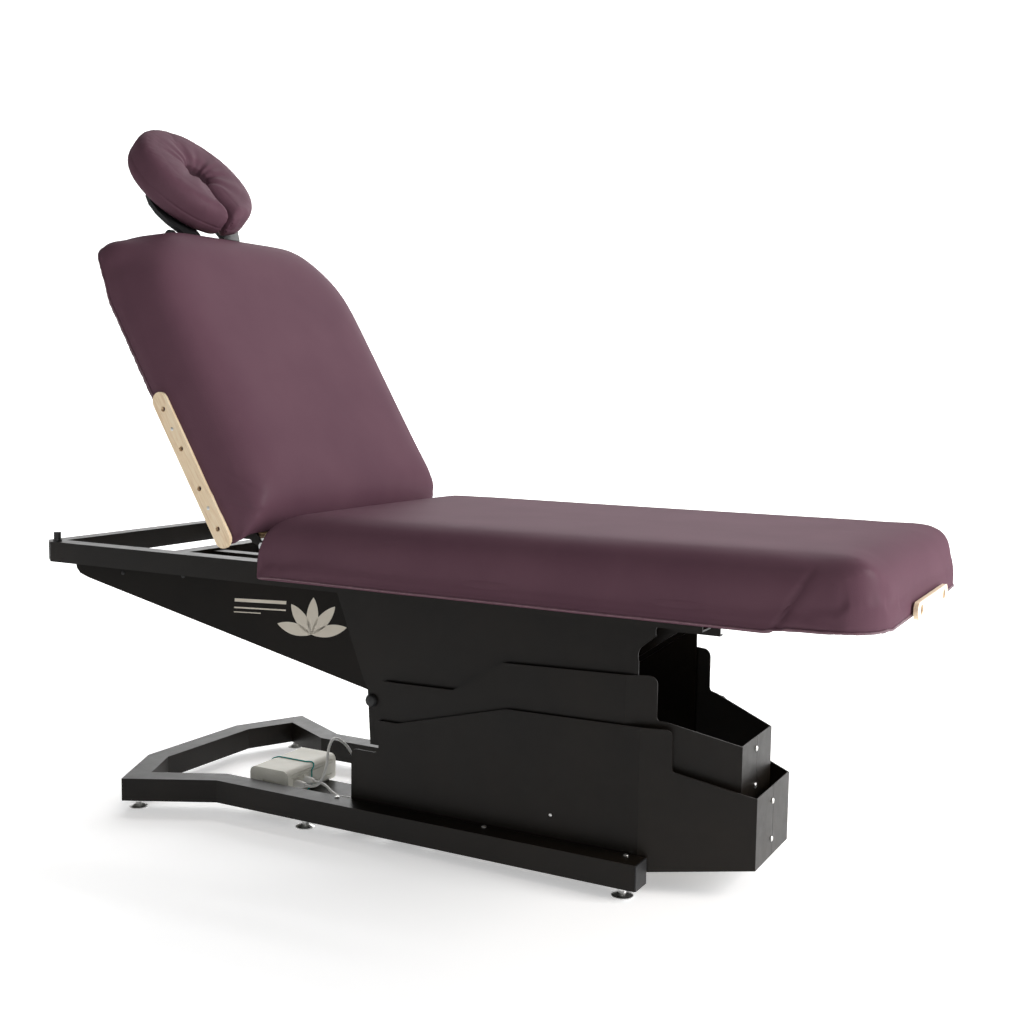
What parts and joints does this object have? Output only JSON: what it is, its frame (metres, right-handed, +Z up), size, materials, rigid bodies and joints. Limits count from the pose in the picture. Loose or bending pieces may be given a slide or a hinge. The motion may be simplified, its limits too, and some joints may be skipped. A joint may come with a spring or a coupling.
{
  "type": "electric lift massage table",
  "caption": "Spa treatment table on an electric scissor lift with a ring base, a padded leg section, a motorised raised backrest and an adjustable face cradle.",
  "frame": {"origin": "on the floor, below the middle of the table's box (its padded length and width)", "axes": "+Z up, +X along the table towards the foot end, -Y towards the near side with the control box"},
  "size_m": [1.892, 0.726, 1.5263],
  "materials": {
    "frame_paint": "satin black powder coat",
    "bright_steel": "ground and zinc plated",
    "zinc_steel": "bright zinc plating",
    "black_plastic": "fine-grained black plastic",
    "upholstery": "plum vinyl with a fine leather grain",
    "plywood": "birch plywood, unfinished",
    "maple": "clear satin lacquer on maple",
    "box_plastic": "light grey moulded plastic",
    "white_cable": "smooth white jacket"
  },
  "bodies": {
    "base": {"base_frame": "frame_paint", "ring_cap_near": "black_plastic", "ring_cap_far": "black_plastic", "lower_cover_near": "frame_paint", "lower_cover_far": "frame_paint", "base_track_near": "frame_paint", "base_track_far": "frame_paint", "base_pivot_shaft": "bright_steel", "box_tray": "frame_paint", "control_box": "box_plastic", "lift_plug": "white_cable", "power_plug": "white_cable", "lift_lead": "white_cable", "power_lead": "white_cable", "leveller_foot_near": "zinc_steel", "leveller_foot_far": "zinc_steel", "leveller_mid_near": "zinc_steel", "leveller_mid_far": "zinc_steel", "leveller_head_near": "zinc_steel", "leveller_head_far": "zinc_steel"},
    "outer_arms": {"outer_arm_frame": "frame_paint", "centre_shaft": "bright_steel"},
    "inner_arms": {"inner_arm_frame": "frame_paint"},
    "top": {"upper_frame": "frame_paint", "upper_panel_near": "frame_paint", "upper_panel_far": "frame_paint", "top_track_near": "frame_paint", "top_track_far": "frame_paint", "top_pivot_shaft": "bright_steel", "head_peg_near": "black_plastic", "head_peg_far": "black_plastic", "hinge_pin_near": "bright_steel", "hinge_pin_far": "bright_steel", "leg_deck": "plywood", "leg_cushion": "upholstery", "foot_plate": "maple"},
    "middle_cover": {"middle_cover_near": "frame_paint", "middle_cover_far": "frame_paint"},
    "lift_actuator": {"lift_motor": "black_plastic", "lift_tube": "bright_steel"},
    "lift_actuator_rod": {"lift_rod": "bright_steel"},
    "backrest": {"back_board": "plywood", "back_cushion": "upholstery", "hinge_strap_near": "frame_paint", "hinge_strap_far": "frame_paint", "side_plate_near": "maple", "side_plate_far": "maple", "head_plate": "maple"},
    "backrest_actuator": {"backrest_motor": "black_plastic", "backrest_tube": "bright_steel"},
    "backrest_actuator_rod": {"backrest_rod": "bright_steel"},
    "cradle_frame": {"cradle_posts": "frame_paint"},
    "cradle": {"cradle_platform": "black_plastic", "cradle_cushion": "upholstery"},
    "cradle_cam_lever": {"cradle_lever": "black_plastic"},
    "base_roller_near": {"base_roller_near": "black_plastic"},
    "base_roller_far": {"base_roller_far": "black_plastic"},
    "top_roller_near": {"top_roller_near": "black_plastic"},
    "top_roller_far": {"top_roller_far": "black_plastic"}
  },
  "joints": [
    {"name": "lift", "type": "hinge", "parent": "base", "child": "outer_arms", "pos_m": [-0.08, 0, 0.095], "axis": [0, -1, 0], "range_deg": [-7, 28]},
    {"name": "scissor_cross", "type": "hinge", "parent": "outer_arms", "child": "inner_arms", "pos_m": [0.20983, 0, 0.3], "axis": [0, -1, 0], "range_deg": [-57, 17]},
    {"name": "top_level", "type": "hinge", "parent": "inner_arms", "child": "top", "pos_m": [-0.08, 0, 0.505], "axis": [0, -1, 0], "range_deg": [-8.5, 28.5]},
    {"name": "middle_cover_rise", "type": "slide", "parent": "base", "child": "middle_cover", "axis": [0, 0, 1], "range_m": [-0.034, 0.116]},
    {"name": "lift_actuator_swing", "type": "hinge", "parent": "base", "child": "lift_actuator", "pos_m": [0.02, 0, 0.066], "axis": [0, -1, 0], "range_deg": [-8, 28]},
    {"name": "lift_rod_slide", "type": "slide", "parent": "lift_actuator", "child": "lift_actuator_rod", "axis": [0.3221, 0, 0.9467], "range_m": [-0.016, 0.051]},
    {"name": "backrest_tilt", "type": "hinge", "parent": "top", "child": "backrest", "pos_m": [-0.3078, 0, 0.6113], "axis": [0, 1, 0], "range_deg": [-59, 0]},
    {"name": "backrest_actuator_swing", "type": "hinge", "parent": "top", "child": "backrest_actuator", "pos_m": [-0.16, 0, 0.466], "axis": [0, 1, 0], "range_deg": [-22, 1]},
    {"name": "backrest_rod_slide", "type": "slide", "parent": "backrest_actuator", "child": "backrest_actuator_rod", "axis": [-0.8077, 0, 0.5896], "range_m": [-0.066, 0.002]},
    {"name": "cradle_post_slide", "type": "slide", "parent": "backrest", "child": "cradle_frame", "axis": [-0.515, 0, 0.8572], "range_m": [0, 0.045]},
    {"name": "cradle_tilt", "type": "hinge", "parent": "cradle_frame", "child": "cradle", "pos_m": [-0.72297, 0, 1.26575], "axis": [0, 1, 0], "range_deg": [-25, 15]},
    {"name": "cradle_cam", "type": "hinge", "parent": "cradle_frame", "child": "cradle_cam_lever", "pos_m": [-0.72297, 0, 1.26575], "axis": [0, 1, 0], "range_deg": [0, 55]},
    {"name": "base_roller_near_spin", "type": "hinge", "parent": "inner_arms", "child": "base_roller_near", "pos_m": [0.49966, -0.088, 0.095], "axis": [0, 1, 0], "continuous": true},
    {"name": "top_roller_near_spin", "type": "hinge", "parent": "outer_arms", "child": "top_roller_near", "pos_m": [0.49966, -0.098, 0.505], "axis": [0, 1, 0], "continuous": true},
    {"name": "base_roller_far_spin", "type": "hinge", "parent": "inner_arms", "child": "base_roller_far", "pos_m": [0.49966, 0.088, 0.095], "axis": [0, 1, 0], "continuous": true},
    {"name": "top_roller_far_spin", "type": "hinge", "parent": "outer_arms", "child": "top_roller_far", "pos_m": [0.49966, 0.098, 0.505], "axis": [0, 1, 0], "continuous": true}
  ],
  "couplings": [
    {"joint": "scissor_cross", "follows": "lift", "ratio": -2},
    {"joint": "top_level", "follows": "lift", "ratio": 1},
    {"joint": "middle_cover_rise", "follows": "lift", "m_per_rad": 0.235},
    {"joint": "lift_actuator_swing", "follows": "lift", "ratio": 0.966},
    {"joint": "lift_rod_slide", "follows": "lift", "m_per_rad": 0.10188},
    {"joint": "backrest_actuator_swing", "follows": "backrest_tilt", "ratio": 0.3512},
    {"joint": "backrest_rod_slide", "follows": "backrest_tilt", "m_per_rad": 0.06077}
  ]
}
